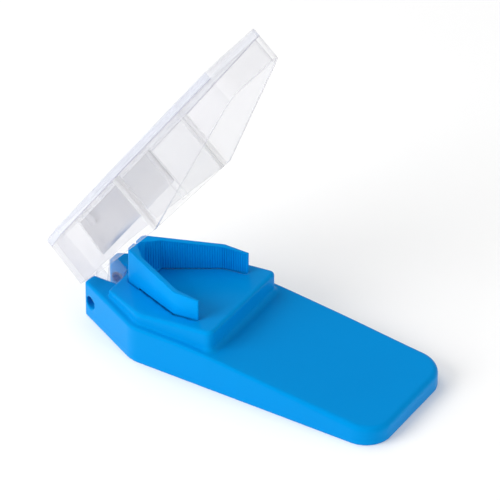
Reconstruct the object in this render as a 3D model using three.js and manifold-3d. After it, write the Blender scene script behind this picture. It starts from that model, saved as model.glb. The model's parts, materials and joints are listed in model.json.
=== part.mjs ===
// Pill splitter: a moulded base with a tilted deck, a V-shaped pill grip that sits on the deck, and a
// clear lid that carries a steel blade and swings on two trunnions between the base's ears.
//
// Frame in millimetres: +X runs from the hinge end to the thumb end, +Z is up, and Y = 0 is the plane of
// the blade. The shapes are drawn with X = 0 at the hinge end and with the lid shut. At the end the lid is
// turned open about its hinge, and the whole is moved so that the origin is under the middle rib.

import * as THREE from 'three';
import { mergeVertices } from 'three/addons/utils/BufferGeometryUtils.js';
import Module from 'manifold-3d';

const wasm = await Module();
wasm.setup();

// ---- Base -------------------------------------------------------------------------------------------
const BASE_LENGTH = 90;
const BASE_WIDTH = 35;
const HINGE_END_WIDTH = 14.6;
const FLARE_LENGTH = 20; // the sides spread from the hinge end to full width over this length
const THUMB_CORNER_RADIUS = 7;
const FLARE_CORNER_RADIUS = 3;
const LEDGE_HEIGHT = 10.2; // the level ledge that the shut lid's rim comes down to
const LEDGE_WIDTH = 2;
const LEDGE_END = 38; // from here the top slopes down to the thumb end
const THUMB_END_HEIGHT = 4.8;
const DECK_END = 42; // the deck stops in a step down to the sloping thumb plate
const DECK_END_HEIGHT = 15.4;
const DECK_CORNER_RADIUS = 1.5;
const TILT = THREE.MathUtils.degToRad(6); // deck, blade and lid top all rise to the front together
const SHELL_WALL = 2.2; // the moulding is hollow from below
const DECK_THICKNESS = 3;
const RIB_WIDTH = 4; // the cross rib that is left between the two hollows

// ---- Hinge ------------------------------------------------------------------------------------------
const PIN_X = 2.4;
const PIN_Z = 5;
const EAR_HOLE_RADIUS = 1.7;
const EAR_GAP = 7.8; // the space between the ears, which the lid's two lugs turn in
const HINGE_CLEARANCE = 0.3;
const LUG_THICKNESS = 1.3;
const LUG_BOSS_RADIUS = 2.1;
const TRUNNION_REACH = 1.6; // how far a trunnion goes into its ear

// ---- Pill grip --------------------------------------------------------------------------------------
const GRIP_START = 10.2;
const GRIP_BEND = 29; // the arms spread to here, then run straight
const GRIP_END = 36;
const GRIP_BACK_WIDTH = 7;
const GRIP_MOUTH_WIDTH = 23.8;
const GRIP_WALL = 1.2;
const GRIP_TIP_WALL = 0.5; // past the bend each arm thins to this at its tip
const GRIP_TOP = 20.7; // the top is level from the bend to the tips, though the deck below it is not
const GRIP_BACK_TOP = 21.5; // and rises to this at the back
const GRIP_CORNER_RADIUS = 1.2;
const GRIP_ROOT_GAP = 1.8; // the arms thicken at the back until the V inside is this wide
const GRIP_SEAT_END = 15; // the bridge that joins the arms sits in a pocket of the deck up to here
const GRIP_SEAT_DEPTH = 1.1;
const GRIP_PEG_RADIUS = 0.9;
const GRIP_PEG_LENGTH = 2;
const SEAT_CLEARANCE = 0.3;

// ---- Lid and blade ----------------------------------------------------------------------------------
const BLADE_THICKNESS = 0.5;
const BLADE_HEIGHT = 9.8;
const BLADE_BEVEL = 1.4;
const EDGE_THICKNESS = 0.06;
const BLADE_DECK_GAP = 0.3; // the shut blade stops just short of the deck
const BLADE_CLEARANCE = 0.3;
const LID_WALL = 1.3;
const LID_TOP_THICKNESS = 2;
const LID_START = 6.6; // the outside of the lid's hinge-end wall
const LID_START_LEAN = 1.6; // that wall leans forward by this much over its height
const CROSS_WALL = DECK_END + 4.5; // front face of the wall that closes the blade's compartment
const LID_END = BASE_LENGTH; // the shut lid is flush with the thumb end
const LID_END_WIDTH = 22.8;
const LID_END_DEPTH = 8.6;
const LID_CORNER_RADIUS = 5;
const RIM_CLEARANCE = 0.3;
const HOLDER_WIDTH = 1; // each of the two ribs that hold an end of the blade
const HOLDER_REACH = 0.8;
const CLIP_START = 13.4; // the two short ribs that grip the back of the blade
const CLIP_LENGTH = 1.6;
const CLIP_DEPTH = 3.2;
const LID_OPENING = THREE.MathUtils.degToRad(49); // the lid as it stands at rest

const ARC_STEPS = 8; // steps in a quarter turn of a rounded corner
const ROUND_SEGMENTS = 32;
const BEYOND = 5; // how far a cutting solid runs past what it cuts

// ---- Heights that follow from the sizes above -------------------------------------------------------
const deckHeight = (x) => DECK_END_HEIGHT - (DECK_END - x) * Math.tan(TILT);
const bladeEdge = (x) => deckHeight(x) + BLADE_DECK_GAP;
const lidInside = (x) => bladeEdge(x) + BLADE_HEIGHT + BLADE_CLEARANCE;
const lidTop = (x) => lidInside(x) + LID_TOP_THICKNESS;
const handleHeight = (x) => LEDGE_HEIGHT
  - (x - LEDGE_END) * (LEDGE_HEIGHT - THUMB_END_HEIGHT) / (BASE_LENGTH - LEDGE_END);
const RIM_HEIGHT = LEDGE_HEIGHT + RIM_CLEARANCE;

// The lid's hinge-end wall leans, so the X of its two faces depends on the height.
const startTop = LID_START + LID_START_LEAN;
const startFace = (z) => LID_START
  + (z - RIM_HEIGHT) * LID_START_LEAN / (lidTop(startTop) - RIM_HEIGHT);
const startInside = (z) => startFace(z) + LID_WALL;

const DECK_START = startInside(deckHeight(LID_START + LID_WALL)) + RIM_CLEARANCE;
const SLOT_END = DECK_START - RIM_CLEARANCE;
const RIB_START = DECK_END - SHELL_WALL;
const RIB_MIDDLE = RIB_START + RIB_WIDTH / 2;

// ---- Drawing helpers --------------------------------------------------------------------------------

/** Moves each side of a convex outline, given anticlockwise, inwards by a distance. */
function inset(outline, distance) {
  const sides = outline.map((from, i) => {
    const to = outline[(i + 1) % outline.length];
    const along = new THREE.Vector2(to[0] - from[0], to[1] - from[1]).normalize();
    return { along, point: new THREE.Vector2(from[0] - along.y * distance, from[1] + along.x * distance) };
  });
  return sides.map((side, i) => {
    const before = sides[(i + sides.length - 1) % sides.length];
    const gap = side.point.clone().sub(before.point);
    const reach = gap.cross(side.along) / before.along.cross(side.along);
    const corner = before.point.clone().addScaledVector(before.along, reach);
    return [corner.x, corner.y];
  });
}

/** Makes a shape from an outline, with an arc of the given radius at each corner that has one. */
function rounded(outline, radii) {
  const points = outline.flatMap(([x, y], i) => {
    const corner = new THREE.Vector2(x, y);
    const radius = radii[i] ?? 0;
    if (radius <= 0) return [corner];
    const towards = (j) => new THREE.Vector2(...outline[(j + outline.length) % outline.length])
      .sub(corner).normalize();
    const [back, on] = [towards(i - 1), towards(i + 1)];
    const half = Math.acos(THREE.MathUtils.clamp(back.dot(on), -1, 1)) / 2;
    const centre = back.clone().add(on).setLength(radius / Math.sin(half)).add(corner);
    const first = corner.clone().addScaledVector(back, radius / Math.tan(half)).sub(centre);
    const turn = Math.PI - 2 * half;
    const steps = Math.max(2, Math.ceil(ARC_STEPS * turn / (Math.PI / 2)));
    return Array.from({ length: steps + 1 }, (_, k) =>
      first.clone().rotateAround(new THREE.Vector2(), turn * k / steps).add(centre));
  });
  return new THREE.Shape(points);
}

/** Turns a three.js geometry into a solid that can be joined and cut. */
function solid(geometry) {
  geometry.deleteAttribute('normal');
  geometry.deleteAttribute('uv');
  const merged = mergeVertices(geometry, 1e-5);
  return new wasm.Manifold(new wasm.Mesh({
    numProp: 3,
    vertProperties: new Float32Array(merged.attributes.position.array),
    triVerts: new Uint32Array(merged.index.array),
  }));
}

/** A plan outline carried up from one height to another. */
function planSolid(shape, bottom, top) {
  const geometry = new THREE.ExtrudeGeometry(shape, { depth: top - bottom, bevelEnabled: false });
  return solid(geometry.translate(0, 0, bottom));
}

/** A side outline, given as X and Z, carried across from one Y to another. */
function sideSolid(outline, fromY, toY) {
  const shape = new THREE.Shape(outline.map(([x, z]) => new THREE.Vector2(x, z)));
  const geometry = new THREE.ExtrudeGeometry(shape, { depth: toY - fromY, bevelEnabled: false });
  return solid(geometry.rotateX(Math.PI / 2).translate(0, toY, 0));
}

/** A box between two X, two Y and two Z. */
function boxSolid(x0, x1, y0, y1, z0, z1) {
  const geometry = new THREE.BoxGeometry(x1 - x0, y1 - y0, z1 - z0);
  return solid(geometry.translate((x0 + x1) / 2, (y0 + y1) / 2, (z0 + z1) / 2));
}

/** A round bar along Y. */
function crossBar(radius, x, z, fromY, toY) {
  const geometry = new THREE.CylinderGeometry(radius, radius, toY - fromY, ROUND_SEGMENTS);
  return solid(geometry.translate(x, (fromY + toY) / 2, z));
}

/** Both of a pair of pieces that mirror each other across the blade's plane. */
const pair = (piece) => piece.add(piece.mirror([0, 1, 0]));

/** A mirrored plan outline, anticlockwise, from its near half given as X and distance from Y = 0. */
const bothSides = (half) => [
  ...half.map(([x, y]) => [x, -y]),
  ...half.slice().reverse().map(([x, y]) => [x, y]),
];

/** Puts a finished solid into a named mesh with its own material. */
function piece(name, body, color, roughness, metalness, extra = {}) {
  const mesh = body.getMesh();
  const geometry = new THREE.BufferGeometry();
  geometry.setAttribute('position', new THREE.BufferAttribute(mesh.vertProperties, 3));
  geometry.setIndex(new THREE.BufferAttribute(mesh.triVerts, 1));
  const material = new THREE.MeshStandardMaterial({ color, roughness, metalness, ...extra });
  const result = new THREE.Mesh(geometry, material);
  result.name = name;
  return result;
}

// ---- Base -------------------------------------------------------------------------------------------

const flareSlope = (BASE_WIDTH - HINGE_END_WIDTH) / 2 / FLARE_LENGTH;
const flareWidth = (x) => HINGE_END_WIDTH / 2 + flareSlope * x; // half width beside the hinge end

const footprint = bothSides([
  [0, HINGE_END_WIDTH / 2],
  [FLARE_LENGTH, BASE_WIDTH / 2],
  [BASE_LENGTH, BASE_WIDTH / 2],
]);
const footprintRadii = [
  0, FLARE_CORNER_RADIUS, THUMB_CORNER_RADIUS,
  THUMB_CORNER_RADIUS, FLARE_CORNER_RADIUS, 0,
];

function baseSolid() {
  const outside = planSolid(rounded(footprint, footprintRadii), 0, LEDGE_HEIGHT).intersect(sideSolid([
    [0, 0], [BASE_LENGTH, 0], [BASE_LENGTH, THUMB_END_HEIGHT], [LEDGE_END, LEDGE_HEIGHT], [0, LEDGE_HEIGHT],
  ], -BASE_WIDTH, BASE_WIDTH));
  const deck = deckSolid(LEDGE_WIDTH, DECK_START, DECK_END, LEDGE_HEIGHT - SHELL_WALL, 0);
  const hollow = deckSolid(
    SHELL_WALL + LEDGE_WIDTH, SLOT_END + SHELL_WALL, RIB_START, -BEYOND, DECK_THICKNESS,
  );
  const slot = boxSolid(-BEYOND, SLOT_END, -EAR_GAP / 2, EAR_GAP / 2, -BEYOND, DECK_END_HEIGHT);
  const holes = crossBar(EAR_HOLE_RADIUS, PIN_X, PIN_Z, -BASE_WIDTH, BASE_WIDTH);
  return outside.add(deck).subtract(hollow).subtract(thumbHollow()).subtract(slot).subtract(holes)
    .subtract(gripSeat(SEAT_CLEARANCE));
}

/** The space between two X under the tilted deck, set in from the base's sides and down from the deck. */
function deckSolid(setIn, start, end, bottom, setDown) {
  const narrowed = inset(footprint, setIn);
  const flareEnd = narrowed[1][0];
  const halfWidth = -narrowed[1][1];
  const startWidth = halfWidth - (flareEnd - start) * flareSlope;
  const plan = bothSides([[start, startWidth], [flareEnd, halfWidth], [end, halfWidth]]);
  const top = (x) => deckHeight(x) - setDown;
  const radius = DECK_CORNER_RADIUS;
  return planSolid(rounded(plan, [0, radius, radius, radius, radius, 0]), bottom, top(end) + BEYOND)
    .intersect(sideSolid([
      [start - BEYOND, bottom], [end + BEYOND, bottom],
      [end + BEYOND, top(end + BEYOND)], [start - BEYOND, top(start - BEYOND)],
    ], -BASE_WIDTH, BASE_WIDTH));
}

/** The hollow under the sloping thumb plate. */
function thumbHollow() {
  const start = RIB_START + RIB_WIDTH;
  const end = BASE_LENGTH - SHELL_WALL;
  const half = BASE_WIDTH / 2 - SHELL_WALL;
  const radius = THUMB_CORNER_RADIUS - SHELL_WALL;
  const plan = rounded([[start, -half], [end, -half], [end, half], [start, half]], [0, radius, radius, 0]);
  const top = (x) => handleHeight(x) - SHELL_WALL;
  return planSolid(plan, -BEYOND, LEDGE_HEIGHT).intersect(sideSolid([
    [start - BEYOND, -BEYOND], [end + BEYOND, -BEYOND],
    [end + BEYOND, top(end + BEYOND)], [start - BEYOND, top(start - BEYOND)],
  ], -BASE_WIDTH, BASE_WIDTH));
}

// ---- Pill grip --------------------------------------------------------------------------------------

const gripSlope = (GRIP_MOUTH_WIDTH - GRIP_BACK_WIDTH) / 2 / (GRIP_BEND - GRIP_START);
const gripWidth = (x) => GRIP_BACK_WIDTH / 2 + gripSlope * (x - GRIP_START); // half width of the V outside

/** The bridge between the arms with its two pegs, or the pocket and holes for it when it is grown. */
function gripSeat(grow) {
  const start = GRIP_START - grow;
  const end = GRIP_SEAT_END + grow;
  const plan = bothSides([[start, gripWidth(start) + grow], [end, gripWidth(end) + grow]]);
  const floor = (x) => deckHeight(x) - GRIP_SEAT_DEPTH - grow;
  const top = (x) => (grow > 0 ? deckHeight(x) + BEYOND : deckHeight(x));
  const bridge = planSolid(rounded(plan, [GRIP_CORNER_RADIUS, 0, 0, GRIP_CORNER_RADIUS]), 0, GRIP_TOP).intersect(sideSolid([
    [start, floor(start)], [end, floor(end)], [end, top(end)], [start, top(start)],
  ], -BASE_WIDTH, BASE_WIDTH));
  const middle = (GRIP_START + GRIP_SEAT_END) / 2;
  const pegTop = deckHeight(middle) - GRIP_SEAT_DEPTH / 2;
  const pegBottom = deckHeight(middle) - GRIP_SEAT_DEPTH - GRIP_PEG_LENGTH - grow;
  const radius = GRIP_PEG_RADIUS + grow;
  const peg = solid(new THREE.CylinderGeometry(radius, radius, pegTop - pegBottom, ROUND_SEGMENTS)
    .rotateX(Math.PI / 2).translate(middle, -GRIP_BACK_WIDTH / 2, (pegTop + pegBottom) / 2));
  return bridge.add(pair(peg));
}

function gripSolid() {
  const outside = bothSides([
    [GRIP_START, GRIP_BACK_WIDTH / 2],
    [GRIP_BEND, GRIP_MOUTH_WIDTH / 2],
    [GRIP_END, GRIP_MOUTH_WIDTH / 2],
  ]);
  const corners = [GRIP_CORNER_RADIUS, 0, 0, 0, 0, GRIP_CORNER_RADIUS];
  const lean = Math.hypot(1, gripSlope);
  const thinning = (GRIP_WALL - GRIP_TIP_WALL) / (GRIP_END - GRIP_BEND);
  const inside = bothSides([
    [GRIP_START + GRIP_WALL, GRIP_ROOT_GAP / 2],
    [GRIP_SEAT_END, gripWidth(GRIP_SEAT_END) - GRIP_WALL * lean],
    [GRIP_BEND + GRIP_WALL * (lean - 1) / gripSlope, GRIP_MOUTH_WIDTH / 2 - GRIP_WALL],
    [GRIP_END + 1, GRIP_MOUTH_WIDTH / 2 - GRIP_TIP_WALL + thinning],
  ]);
  const foot = (x) => deckHeight(x) + SEAT_CLEARANCE;
  const arms = planSolid(rounded(outside, corners), 0, GRIP_BACK_TOP)
    .intersect(sideSolid([
      [GRIP_START, foot(GRIP_START)], [GRIP_END, foot(GRIP_END)],
      [GRIP_END, GRIP_TOP], [GRIP_BEND, GRIP_TOP], [GRIP_START, GRIP_BACK_TOP],
    ], -BASE_WIDTH, BASE_WIDTH));
  const roots = planSolid(rounded(outside, corners), 0, GRIP_TOP)
    .intersect(sideSolid([
      [GRIP_START, deckHeight(GRIP_START) - GRIP_SEAT_DEPTH],
      [GRIP_SEAT_END, deckHeight(GRIP_SEAT_END) - GRIP_SEAT_DEPTH],
      [GRIP_SEAT_END, GRIP_TOP - 1], [GRIP_START, GRIP_TOP - 1],
    ], -BASE_WIDTH, BASE_WIDTH));
  const bladeSlot = boxSolid(
    GRIP_START - BEYOND, GRIP_BEND,
    -BLADE_THICKNESS / 2 - BLADE_CLEARANCE, BLADE_THICKNESS / 2 + BLADE_CLEARANCE,
    0, GRIP_BACK_TOP + BEYOND,
  );
  const hollow = planSolid(rounded(inside, []), 0, GRIP_BACK_TOP + BEYOND);
  return arms.add(roots).subtract(hollow).subtract(bladeSlot).add(gripSeat(0));
}

// ---- Lid --------------------------------------------------------------------------------------------

const rimOutline = bothSides([
  [LID_START, flareWidth(LID_START)],
  [FLARE_LENGTH, BASE_WIDTH / 2],
  [CROSS_WALL, BASE_WIDTH / 2],
  [LID_END, LID_END_WIDTH / 2],
]);
const lidRadii = (radius) => [0, FLARE_CORNER_RADIUS, 0, radius, radius, 0, FLARE_CORNER_RADIUS, 0];
const taperedRim = (x) => RIM_HEIGHT
  + (x - CROSS_WALL) * (lidTop(LID_END) - LID_END_DEPTH - RIM_HEIGHT) / (LID_END - CROSS_WALL);

function lidSolid() {
  const outside = planSolid(rounded(rimOutline, lidRadii(LID_CORNER_RADIUS)), 0, lidTop(LID_END) + 1)
    .intersect(sideSolid([
      [LID_START, RIM_HEIGHT], [CROSS_WALL, RIM_HEIGHT], [LID_END, taperedRim(LID_END)],
      [LID_END, lidTop(LID_END)], [startTop, lidTop(startTop)],
    ], -BASE_WIDTH, BASE_WIDTH));
  const within = planSolid(
    rounded(inset(rimOutline, LID_WALL), lidRadii(LID_CORNER_RADIUS - LID_WALL)), 0, lidTop(LID_END),
  );
  const room = (bottomStart, topStart, end) => within.intersect(sideSolid([
    [bottomStart, 0], [end, 0], [end, lidInside(end)], [topStart, lidInside(topStart)],
  ], -BASE_WIDTH, BASE_WIDTH));
  const bladeRoom = room(startInside(0), startInside(lidInside(startTop)), CROSS_WALL - LID_WALL);
  const thumbRoom = room(CROSS_WALL, CROSS_WALL, LID_END);
  return outside.subtract(bladeRoom).subtract(thumbRoom).add(bladeHolders()).add(pair(lugSolid()));
}

/** The paired ribs on the end walls and the roof of the blade's compartment, which the blade slides into. */
function bladeHolders() {
  const near = BLADE_THICKNESS / 2 + BLADE_CLEARANCE;
  const far = near + HOLDER_WIDTH;
  const sunk = LID_WALL / 2; // how far a rib runs into the wall that carries it
  const foot = bladeEdge(startTop + LID_WALL);
  const backTop = lidInside(startTop) + sunk;
  const backRib = sideSolid([
    [startInside(foot) - sunk, foot], [startInside(foot) + HOLDER_REACH, foot],
    [startInside(backTop) + HOLDER_REACH, backTop], [startInside(backTop) - sunk, backTop],
  ], near, far);
  const end = CROSS_WALL - LID_WALL;
  const frontRib = sideSolid([
    [end - HOLDER_REACH, RIM_HEIGHT + sunk], [end + sunk, RIM_HEIGHT + sunk],
    [end + sunk, lidInside(end) + sunk], [end - HOLDER_REACH, lidInside(end) + sunk],
  ], near, far);
  const clip = sideSolid([
    [CLIP_START, lidInside(CLIP_START) - CLIP_DEPTH],
    [CLIP_START + CLIP_LENGTH, lidInside(CLIP_START) - CLIP_DEPTH],
    [CLIP_START + CLIP_LENGTH, lidInside(CLIP_START) + sunk],
    [CLIP_START, lidInside(CLIP_START) + sunk],
  ], near, far);
  return pair(backRib.add(frontRib).add(clip));
}

/** One hinge lug: a plate that hangs from the lid's hinge-end wall, with its trunnion. */
function lugSolid() {
  const outer = EAR_GAP / 2 - HINGE_CLEARANCE;
  const front = SLOT_END - 2 * HINGE_CLEARANCE;
  const boss = crossBar(LUG_BOSS_RADIUS, PIN_X, PIN_Z, outer - LUG_THICKNESS, outer);
  const plate = sideSolid([
    [PIN_X - LUG_BOSS_RADIUS * Math.SQRT1_2, PIN_Z + LUG_BOSS_RADIUS * Math.SQRT1_2],
    [PIN_X + LUG_BOSS_RADIUS * Math.SQRT1_2, PIN_Z - LUG_BOSS_RADIUS * Math.SQRT1_2],
    [front, PIN_Z + HINGE_CLEARANCE],
    [front, RIM_HEIGHT + LID_WALL],
    [startFace(RIM_HEIGHT + LID_WALL), RIM_HEIGHT + LID_WALL],
    [LID_START, RIM_HEIGHT],
  ], outer - LUG_THICKNESS, outer);
  const trunnion = crossBar(
    EAR_HOLE_RADIUS - HINGE_CLEARANCE, PIN_X, PIN_Z,
    outer - LUG_THICKNESS / 2, EAR_GAP / 2 + TRUNNION_REACH,
  );
  return boss.add(plate).add(trunnion);
}

// ---- Blade ------------------------------------------------------------------------------------------

function bladeSolid() {
  const start = startInside(bladeEdge(LID_START)) + BLADE_CLEARANCE;
  const end = CROSS_WALL - LID_WALL - BLADE_CLEARANCE;
  const back = (x) => bladeEdge(x) + BLADE_HEIGHT;
  const backStart = startInside(back(startTop + LID_WALL)) + BLADE_CLEARANCE;
  const half = BLADE_THICKNESS / 2;
  const sheet = sideSolid([
    [start, bladeEdge(start)], [end, bladeEdge(end)], [end, back(end)], [backStart, back(backStart)],
  ], -half, half);
  const bevelSection = new THREE.Shape([
    new THREE.Vector2(EDGE_THICKNESS / 2, -BEYOND), new THREE.Vector2(half + 1, -BEYOND),
    new THREE.Vector2(half + 1, BLADE_BEVEL), new THREE.Vector2(half, BLADE_BEVEL),
    new THREE.Vector2(EDGE_THICKNESS / 2, 0),
  ]);
  const length = end - start + 2 * BEYOND;
  const bevel = solid(new THREE.ExtrudeGeometry(bevelSection, { depth: length, bevelEnabled: false })
    .rotateX(Math.PI / 2).rotateZ(Math.PI / 2).rotateY(-TILT)
    .translate(start - BEYOND, 0, bladeEdge(start - BEYOND)));
  return sheet.subtract(pair(bevel));
}

// ---- Assembly ---------------------------------------------------------------------------------------

const splitter = new THREE.Group();
splitter.position.x = -RIB_MIDDLE;
splitter.add(piece('base', baseSolid(), 0x0092e2, 0.28, 0));
splitter.add(piece('pill_grip', gripSolid(), 0x0098ea, 0.35, 0));

const shutToHinge = [-PIN_X, 0, -PIN_Z];
const hinge = new THREE.Group();
hinge.position.set(PIN_X, 0, PIN_Z);
hinge.rotation.y = -LID_OPENING;
hinge.add(piece('lid', lidSolid().translate(shutToHinge), 0xe9e8f0, 0.08, 0, {
  transparent: true, opacity: 0.35,
}));
hinge.add(piece('blade', bladeSolid().translate(shutToHinge), 0xc4c4ca, 0.25, 1));
splitter.add(hinge);

export default splitter;
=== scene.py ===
"""Finished visual model of a pill splitter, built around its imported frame.

The base is drawn as a distance field, so that every edge of the moulding gets its own radius, and is
then meshed. The grip, lid and blade take their shape from the frame's solids, cleaned of their loose
triangles and given real edge radii. The fine ribs of the grip are laid out by Geometry Nodes.
Lengths inside the classes are in millimetres; meshes are written in metres.
"""

import itertools
import json
import logging
import math
from collections.abc import Callable, Mapping
from dataclasses import dataclass
from enum import Enum
from typing import Any, ClassVar, Union

import bmesh
import bpy
import numpy as np
from mathutils import Matrix, Vector


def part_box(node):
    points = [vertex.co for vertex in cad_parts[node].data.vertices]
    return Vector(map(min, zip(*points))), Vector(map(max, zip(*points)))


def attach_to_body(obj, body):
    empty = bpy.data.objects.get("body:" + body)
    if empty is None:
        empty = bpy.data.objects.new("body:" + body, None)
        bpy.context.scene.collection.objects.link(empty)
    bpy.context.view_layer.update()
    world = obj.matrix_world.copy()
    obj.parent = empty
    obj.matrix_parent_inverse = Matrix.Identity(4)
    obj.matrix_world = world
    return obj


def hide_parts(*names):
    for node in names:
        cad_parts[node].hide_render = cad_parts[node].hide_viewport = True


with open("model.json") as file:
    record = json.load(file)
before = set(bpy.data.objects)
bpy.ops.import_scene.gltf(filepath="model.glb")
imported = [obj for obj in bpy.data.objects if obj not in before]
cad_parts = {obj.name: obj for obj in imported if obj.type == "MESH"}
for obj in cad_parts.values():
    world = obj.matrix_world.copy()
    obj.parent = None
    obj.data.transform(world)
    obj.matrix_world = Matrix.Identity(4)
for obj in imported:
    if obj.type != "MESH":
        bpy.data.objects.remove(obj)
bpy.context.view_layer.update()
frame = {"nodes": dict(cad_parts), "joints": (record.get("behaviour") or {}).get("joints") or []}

LOG = logging.getLogger("pill_splitter")
MM = 0.001
WELD = 0.002  # points nearer than this many millimetres are one point
FLAT = 0.6  # faces that turn by less than this many degrees are one flat face

Array = np.ndarray
Colour = tuple[float, ...]
Field = Callable[[Array, Array, Array], Array]
Number = Union[int, float]

SHEEN: Colour = (0.12, 0.55, 1.0)  # colour of the gloss on the blue plastics


class Body(Enum):
    """The moving bodies of the frame."""

    BASE = "base_body"
    LID = "lid_body"


class Slot(Enum):
    """The record's material slots."""

    BASE = "blue_plastic"
    GRIP = "grip_plastic"
    LID = "clear_plastic"
    BLADE = "blade_steel"


# ---- Distance fields --------------------------------------------------------------------------------


def common(a: Array, b: Array, radius: Number | Array) -> Array:
    """Returns what two solids share, with the edge between them rounded.

    Args:
        a: Signed distance to the first solid, negative inside.
        b: Signed distance to the second solid.
        radius: Radius of the rounded edge.

    Returns:
        The signed distance to the shared solid.
    """
    corner = np.hypot(np.maximum(radius + a, 0), np.maximum(radius + b, 0))
    return np.minimum(-radius, np.maximum(a, b)) + corner


def joined(a: Array, b: Array, radius: Number | Array) -> Array:
    """Returns two solids joined, with a fillet of the given radius where they meet."""
    return -common(-a, -b, radius)


def cut(a: Array, b: Array, radius: Number | Array) -> Array:
    """Returns the first solid less the second, with the edge of the cut rounded."""
    return common(a, -b, radius)


def eased(a: Array, b: Array, reach: Number) -> Array:
    """Returns what two nearly level half-spaces share, with the crease between them eased."""
    return np.maximum(a, b) + np.maximum(reach - np.abs(a - b), 0) ** 2 / (4 * reach)


def ramp(value: Array, start: Number, end: Number) -> Array:
    """Returns 0 below start, 1 above end, and a smooth rise between them."""
    t = np.clip((value - start) / (end - start), 0, 1)
    return t * t * (3 - 2 * t)


@dataclass
class FieldMesher:
    """Turns a distance field into a mesh of even quads that lie on its surface.

    Attributes:
        step: Size of a cell in millimetres.
        margin: Cells left free around the solid.
        settling: How many times each point is drawn onto the surface.
        slope_parts: The slope is measured across one cell divided by this.
        least_slope: Lowest square of a slope that a move is worked out from.
    """

    step: float = 0.4
    margin: float = 1.5
    settling: int = 5
    slope_parts: int = 20
    least_slope: float = 1e-6

    def mesh(self, name: str, field: Field, low: Vector, high: Vector) -> bpy.types.Mesh:
        """Meshes the surface of a field inside a box.

        Args:
            name: Name of the new mesh.
            field: The signed distance in millimetres.
            low: Lowest corner of the box in millimetres.
            high: Highest corner of the box in millimetres.

        Returns:
            A mesh in metres, with its faces pointing out.
        """
        margin = self.margin * self.step
        axes = [np.arange(low[i] - margin, high[i] + margin + self.step, self.step) for i in range(3)]
        values = field(*np.meshgrid(*axes, indexing="ij"))
        points, index = self._points(values)
        points = points * self.step + np.array([axis[0] for axis in axes])
        points = self._settle(field, points)
        quads = self._quads(values < 0, index)
        mesh = bpy.data.meshes.new(name)
        mesh.from_pydata((points * MM).tolist(), [], quads.tolist())
        mesh.update()
        mesh.shade_smooth()
        return mesh

    def _points(self, values: Array) -> tuple[Array, Array]:
        """Puts one point in each cell that the surface crosses, and numbers those cells.

        Args:
            values: The field at the corners of the cells.

        Returns:
            The points in cells, and the number of each cell's point, or -1 where it has none.
        """
        offsets = np.array(list(itertools.product((0, 1), repeat=3)))
        shape = np.array(values.shape) - 1
        corners = np.stack([
            values[i:i + shape[0], j:j + shape[1], k:k + shape[2]] for i, j, k in offsets
        ], axis=-1)
        held = (corners < 0).sum(axis=-1)
        crossed = (held > 0) & (held < len(offsets))
        cells = np.argwhere(crossed)
        corners = corners[crossed]
        total = np.zeros((len(cells), 3))
        count = np.zeros(len(cells))
        for a, b in itertools.combinations(range(len(offsets)), 2):
            if np.abs(offsets[a] - offsets[b]).sum() != 1:
                continue
            va, vb = corners[:, a], corners[:, b]
            meets = (va < 0) != (vb < 0)
            share = np.where(meets, va / np.where(meets, va - vb, 1), 0)
            total += meets[:, None] * (offsets[a] + share[:, None] * (offsets[b] - offsets[a]))
            count += meets
        index = np.full(crossed.shape, -1)
        index[crossed] = np.arange(len(cells))
        return cells + total / count[:, None], index

    def _settle(self, field: Field, points: Array) -> Array:
        """Draws each point onto the surface along the field's slope.

        Args:
            field: The signed distance.
            points: The points, one in each row.

        Returns:
            The moved points.
        """
        reach = self.step / self.slope_parts
        for _ in range(self.settling):
            value = field(*points.T)
            slope = np.stack([
                field(*(points + reach * axis).T) - field(*(points - reach * axis).T)
                for axis in np.eye(3)
            ], axis=1) / (2 * reach)
            length = np.maximum((slope ** 2).sum(axis=1), self.least_slope)
            move = slope * (value / length)[:, None]
            points = points - np.clip(move, -self.step / 2, self.step / 2)
        return points

    @staticmethod
    def _quads(inside: Array, index: Array) -> Array:
        """Joins the four cells around each crossed grid line, with the face pointing out.

        Args:
            inside: Whether each corner of the cells is in the solid.
            index: The number of each cell's point.

        Returns:
            Four point numbers for each face.
        """
        quads = []
        for axis in range(3):
            first = np.moveaxis(inside, axis, 0)
            cells = np.moveaxis(index, axis, 0)
            here, there = first[:-1, 1:-1, 1:-1], first[1:, 1:-1, 1:-1]
            ring = np.stack([
                cells[:, :-1, :-1], cells[:, 1:, :-1], cells[:, 1:, 1:], cells[:, :-1, 1:],
            ], axis=-1)
            leaving = here & ~there
            entering = ~here & there
            forward, backward = ring[leaving], ring[entering][:, ::-1]
            if axis == 1:
                forward, backward = forward[:, ::-1], backward[:, ::-1]
            quads += [forward, backward]
        return np.concatenate(quads)


# ---- Meshes -----------------------------------------------------------------------------------------


def add_object(name: str, mesh: bpy.types.Mesh) -> bpy.types.Object:
    """Puts a mesh into the scene as an object at the origin.

    Args:
        name: Name of the new object.
        mesh: Its mesh.

    Returns:
        The new object.
    """
    obj = bpy.data.objects.new(name, mesh)
    bpy.context.scene.collection.objects.link(obj)
    return obj


def clean_copy(node: str, name: str) -> bpy.types.Object:
    """Copies a frame solid and turns its loose triangles into whole flat faces.

    Args:
        node: Name of the frame's node.
        name: Name of the new object.

    Returns:
        The new object, closed and with its faces pointing out.
    """
    mesh = frame["nodes"][node].data.copy()
    mesh.name = name
    mesh.materials.clear()
    shape = bmesh.new()
    shape.from_mesh(mesh)
    bmesh.ops.remove_doubles(shape, verts=shape.verts, dist=WELD * MM)
    bmesh.ops.dissolve_limit(
        shape, angle_limit=math.radians(FLAT), verts=shape.verts, edges=shape.edges,
    )
    shape.to_mesh(mesh)
    shape.free()
    return add_object(name, mesh)


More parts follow.
